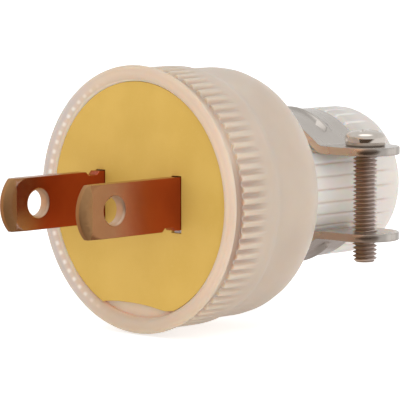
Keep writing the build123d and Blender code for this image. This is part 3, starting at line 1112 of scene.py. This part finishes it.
def show(piece, node, material=None):
    """Let a piece stand for a CAD node, with its finish."""
    if material:
        piece.data.materials.clear()
        piece.data.materials.append(material)
    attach(piece, "root")
    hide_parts(node)


def build_pieces():
    cap = turned_cap("cap_ribbed")
    run_tree(cap, rib_tree(), {
        "Rib Count": RIB_COUNT, "Line Count": LINE_COUNT, "Material": soft_vinyl(),
    })
    cap.data.set_sharp_from_angle(angle=CAP_SMOOTH_ANGLE)
    show(cap, "cap_body")

    card = eased_copy("insulating_card", "card_fibre", CARD_EASE, 1, fill_recess)
    show(card, "insulating_card", fibre_card())

    copper = copper_blade()
    for node in ("blade_left", "blade_right"):
        show(eased_copy(node, f"{node}_eased", BLADE_EASE), node, copper)

    band = eased_copy("cord_band", "band_plated", BAND_EASE, 2, soften_bead)
    show(band, "cord_band", plated_strip())

    steel = plated_screw()
    screw = screw_head("clamp_screw_threaded")
    run_tree(screw, thread_tree(), {"Pitch": THREAD_PITCH * MM, "Material": steel})
    screw.data.set_sharp_from_angle(angle=SMOOTH_ANGLE)
    show(screw, "clamp_screw")

    block = eased_copy("terminal_block", "block_moulded", BLOCK_EASE)
    show(block, "terminal_block", moulded_block())
    for node in ("terminal_screw_left", "terminal_screw_right"):
        show(eased_copy(node, f"{node}_eased", TERMINAL_EASE), node, steel)


# Stage


def room_colour(graph, aim):
    """What the finishes mirror: a white room, brown to the left, with a dark stand at the front."""
    x, y, z = graph.axes(aim)
    ahead = graph.minus(graph.times(x, VIEW_SIDE), graph.times(y, VIEW_FRONT))
    right = graph.plus(graph.times(x, VIEW_FRONT), graph.times(y, VIEW_SIDE))
    left = graph.times(graph.span(right, -0.75, 0.1, 1.0, 0.0), graph.span(z, 0.25, 0.7, 1.0, 0.0))
    stand = graph.times(graph.span(ahead, 0.6, 0.85), graph.span(z, 0.02, 0.16, 1.0, 0.0))
    return graph.paint(
        graph.mix(graph.span(z, 0.9, 0.98), ROOM_WALL, ROOM_LAMP),
        (graph.span(z, 0.05, 0.35, 1.0, 0.0), ROOM_LOW),
        (left, ROOM_LEFT),
        (stand, ROOM_STAND),
        (graph.span(z, -0.75, -0.2, 1.0, 0.0), ROOM_FLOOR),
    )


def lay_floor():
    """Pale floor that looks white, keeps the shadow and is mirrored as part of the room."""
    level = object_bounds()[0][2] - FLOOR_DROP * MM
    corners = [
        (across * FLOOR_HALF, along * FLOOR_HALF, level)
        for across, along in ((-1, -1), (1, -1), (1, 1), (-1, 1))
    ]
    mesh = bpy.data.meshes.new("floor")
    mesh.from_pydata(corners, [], [(0, 1, 2, 3)])
    floor = new_piece("floor", mesh)
    pale = Finish("pale_floor", {"Roughness": 0.9, "Specular IOR Level": 0.0})
    path = pale.node("ShaderNodeLightPath").outputs
    mirrored = path["Is Glossy Ray"]
    room = room_colour(pale, pale.unit(pale.place))
    white = pale.times(path["Is Camera Ray"], FLOOR_WHITE)
    glow = pale.times(path["Is Diffuse Ray"], FLOOR_GLOW)
    inputs = pale.shader.inputs
    pale.feed(inputs["Base Color"], pale.mix(mirrored, FLOOR_TONE, BLACK))
    pale.feed(inputs["Emission Color"], pale.mix(mirrored, WHITE, room))
    pale.feed(inputs["Emission Strength"], pale.plus(pale.plus(white, glow), mirrored))
    mesh.materials.append(pale.material)


def light_world():
    """Even white light, with the room's colours only in what mirrors it."""
    world = bpy.data.worlds.new("studio")
    bpy.context.scene.world = world
    world.use_nodes = True
    graph = Graph(world.node_tree)
    backdrop = world.node_tree.nodes["Background"]
    aim = graph.node("ShaderNodeTexCoord").outputs["Generated"]
    path = graph.node("ShaderNodeLightPath").outputs
    mirrored = path["Is Glossy Ray"]
    seen = graph.larger(path["Is Camera Ray"], mirrored)
    level = graph.span(seen, 0.0, 1.0, WORLD_LEVEL, 1.0, smooth=False)
    graph.feed(backdrop.inputs["Color"], graph.mix(mirrored, WHITE, room_colour(graph, aim)))
    graph.feed(backdrop.inputs["Strength"], level)


def facing(place, aim):
    """Rotation that points a lamp or camera from its place to its aim."""
    return (Vector(aim) - Vector(place)).to_track_quat("-Z", "Y").to_euler()


def hang_lamp(name, place, aim, size, watts, colour):
    """Soft lamp that gives light and isn't mirrored."""
    light = bpy.data.lights.new(name, "AREA")
    light.shape = "DISK"
    light.size = size
    light.energy = watts
    light.color = colour
    lamp = new_piece(name, light)
    lamp.location = place
    lamp.rotation_euler = facing(place, aim)
    lamp.visible_glossy = False


def set_camera():
    """Camera at the photo's angle."""
    level = math.cos(VIEW_ELEVATION)
    back = Vector((VIEW_SIDE * level, -VIEW_FRONT * level, math.sin(VIEW_ELEVATION)))
    right = Vector((VIEW_FRONT, VIEW_SIDE, 0.0))
    data = bpy.data.cameras.new("camera")
    data.sensor_width = VIEW_SENSOR
    data.lens = VIEW_LENS
    data.clip_start = 0.02
    data.clip_end = 20.0
    camera = new_piece("camera", data)
    camera.location = back * VIEW_DISTANCE
    camera.rotation_euler = facing(camera.location, right * VIEW_AIM)
    bpy.context.scene.camera = camera


build_pieces()
lay_floor()
light_world()
for lamp in LAMPS:
    hang_lamp(*lamp)
set_camera()
bpy.context.scene.view_settings.view_transform = "Standard"
